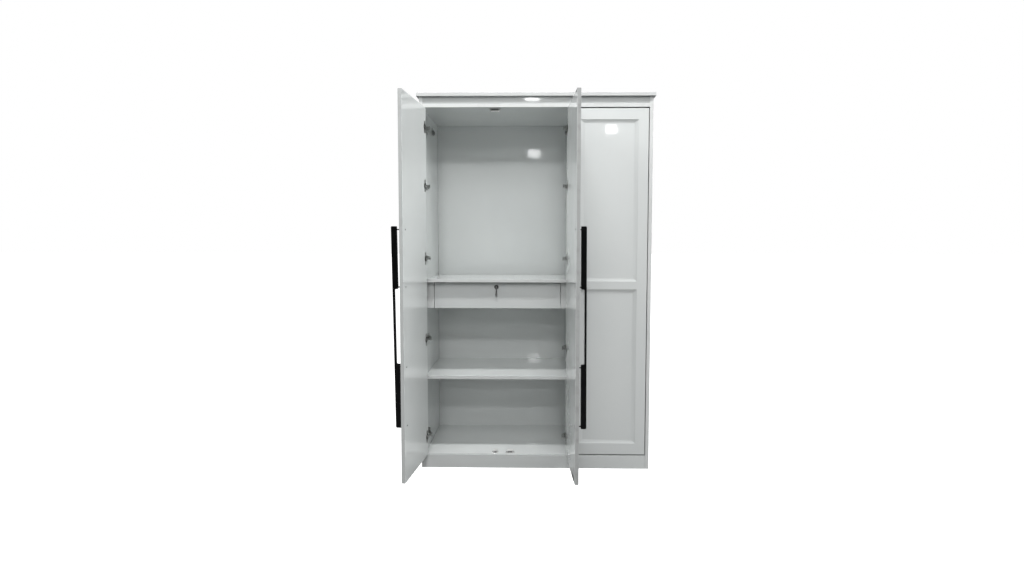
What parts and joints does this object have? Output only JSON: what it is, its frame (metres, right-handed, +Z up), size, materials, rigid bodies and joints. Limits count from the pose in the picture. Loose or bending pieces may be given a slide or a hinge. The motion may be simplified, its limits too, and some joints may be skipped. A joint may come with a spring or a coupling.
{
  "type": "wardrobe with doors",
  "caption": "Free-standing wardrobe with a wide bay behind a pair of hinged panelled doors, a narrow bay behind a single door, inner shelves and a lockable drawer.",
  "frame": {"origin": "on the floor under the middle of the carcass", "axes": "+Z up, the open front faces -Y, the right side of the wardrobe as seen from the front is +X"},
  "size_m": [1.2767, 0.8849, 1.957],
  "materials": {
    "white_lacquer": "white high-gloss lacquer on board",
    "black_metal": "satin black anodised aluminium",
    "nickel_steel": "nickel-plated pressed steel",
    "runner_steel": "white epoxy-coated steel",
    "chrome": "bright chrome",
    "key_metal": "worn nickel",
    "grey_plastic": "pale grey moulded plastic"
  },
  "bodies": {
    "carcass": {"side_left": "white_lacquer", "side_right": "white_lacquer", "partition": "white_lacquer", "bottom_panel": "white_lacquer", "top_panel": "white_lacquer", "fascia_rail": "white_lacquer", "top_board": "white_lacquer", "plinth_board": "white_lacquer", "base_rail_rear": "white_lacquer", "base_rail_middle": "white_lacquer", "back_board_wide": "white_lacquer", "back_board_narrow": "white_lacquer", "shelf_upper": "white_lacquer", "shelf_lower": "white_lacquer", "narrow_shelf_1": "white_lacquer", "narrow_shelf_2": "white_lacquer", "drawer_spacer_left": "white_lacquer", "drawer_spacer_right": "white_lacquer", "drawer_cheek_left": "white_lacquer", "drawer_cheek_right": "white_lacquer", "runner_cabinet_left": "runner_steel", "runner_cabinet_right": "runner_steel", "rail_socket_left": "nickel_steel", "rail_socket_right": "nickel_steel", "catch_top": "grey_plastic", "catch_bottom_left": "grey_plastic", "catch_bottom_middle": "grey_plastic", "door_left_hinge_arm": "nickel_steel", "door_left_hinge_plate": "nickel_steel", "door_middle_hinge_arm": "nickel_steel", "door_middle_hinge_plate": "nickel_steel", "door_right_hinge_arm": "nickel_steel", "door_right_hinge_plate": "nickel_steel"},
    "drawer": {"drawer_front": "white_lacquer", "drawer_side_left": "white_lacquer", "drawer_side_right": "white_lacquer", "drawer_back": "white_lacquer", "drawer_bottom": "white_lacquer", "runner_drawer_left": "runner_steel", "runner_drawer_right": "runner_steel", "lock_case": "chrome"},
    "lock": {"lock_cylinder": "chrome", "lock_cam": "nickel_steel", "drawer_key": "key_metal"},
    "door_left": {"door_left_panel": "white_lacquer", "door_left_handle": "black_metal", "door_left_hinge_cup": "nickel_steel"},
    "door_left_outer_link": {"door_left_hinge_outer_link": "nickel_steel"},
    "door_left_inner_link": {"door_left_hinge_inner_link": "nickel_steel"},
    "door_middle": {"door_middle_panel": "white_lacquer", "door_middle_handle": "black_metal", "door_middle_hinge_cup": "nickel_steel", "door_middle_strike": "nickel_steel"},
    "door_middle_outer_link": {"door_middle_hinge_outer_link": "nickel_steel"},
    "door_middle_inner_link": {"door_middle_hinge_inner_link": "nickel_steel"},
    "door_right": {"door_right_panel": "white_lacquer", "door_right_handle": "black_metal", "door_right_hinge_cup": "nickel_steel"},
    "door_right_outer_link": {"door_right_hinge_outer_link": "nickel_steel"},
    "door_right_inner_link": {"door_right_hinge_inner_link": "nickel_steel"}
  },
  "joints": [
    {"name": "door_left_swing", "type": "hinge", "parent": "carcass", "child": "door_left", "pos_m": [-0.5835, -0.2535, 0.978], "axis": [0, 0, -1], "range_deg": [-96, 4]},
    {"name": "door_left_outer_link_turn", "type": "hinge", "parent": "carcass", "child": "door_left_outer_link", "pos_m": [-0.56, -0.218, 1.78], "axis": [0, 0, -1], "range_deg": [-65.78, 3.22]},
    {"name": "door_left_inner_link_turn", "type": "hinge", "parent": "door_left", "child": "door_left_inner_link", "pos_m": [-0.56633, -0.28145, 1.78], "axis": [0, 0, -1], "range_deg": [-5.88, 129.67]},
    {"name": "door_middle_swing", "type": "hinge", "parent": "carcass", "child": "door_middle", "pos_m": [0.18217, -0.2535, 0.978], "axis": [0, 0, 1], "range_deg": [-93, 7]},
    {"name": "door_middle_outer_link_turn", "type": "hinge", "parent": "carcass", "child": "door_middle_outer_link", "pos_m": [0.15867, -0.218, 1.78], "axis": [0, 0, 1], "range_deg": [-62.82, 5.19]},
    {"name": "door_middle_inner_link_turn", "type": "hinge", "parent": "door_middle", "child": "door_middle_inner_link", "pos_m": [0.16356, -0.28051, 1.78], "axis": [0, 0, 1], "range_deg": [-9.96, 126.18]},
    {"name": "door_right_swing", "type": "hinge", "parent": "carcass", "child": "door_right", "pos_m": [0.5835, -0.2535, 0.978], "axis": [0, 0, 1], "range_deg": [0, 100]},
    {"name": "door_right_outer_link_turn", "type": "hinge", "parent": "carcass", "child": "door_right_outer_link", "pos_m": [0.56, -0.218, 1.78], "axis": [0, 0, 1], "range_deg": [-0.5, 68.51]},
    {"name": "door_right_inner_link_turn", "type": "hinge", "parent": "door_right", "child": "door_right_inner_link", "pos_m": [0.5575, -0.2335, 1.78], "axis": [0, 0, 1], "range_deg": [-135.06, 0.5]},
    {"name": "drawer_slide", "type": "slide", "parent": "carcass", "child": "drawer", "axis": [0, -1, 0], "range_m": [0, 0.3]},
    {"name": "lock_turn", "type": "hinge", "parent": "drawer", "child": "lock", "pos_m": [-0.20567, -0.194, 0.9575], "axis": [0, -1, 0], "range_deg": [0, 90]}
  ],
  "couplings": [
    {"joint": "door_left_outer_link_turn", "follows": "door_left_swing", "ratio": 0.68006},
    {"joint": "door_left_inner_link_turn", "follows": "door_left_swing", "ratio": -1.3456},
    {"joint": "door_middle_outer_link_turn", "follows": "door_middle_swing", "ratio": 0.67014},
    {"joint": "door_middle_inner_link_turn", "follows": "door_middle_swing", "ratio": -1.3514},
    {"joint": "door_right_outer_link_turn", "follows": "door_right_swing", "ratio": 0.68006},
    {"joint": "door_right_inner_link_turn", "follows": "door_right_swing", "ratio": -1.3456}
  ]
}
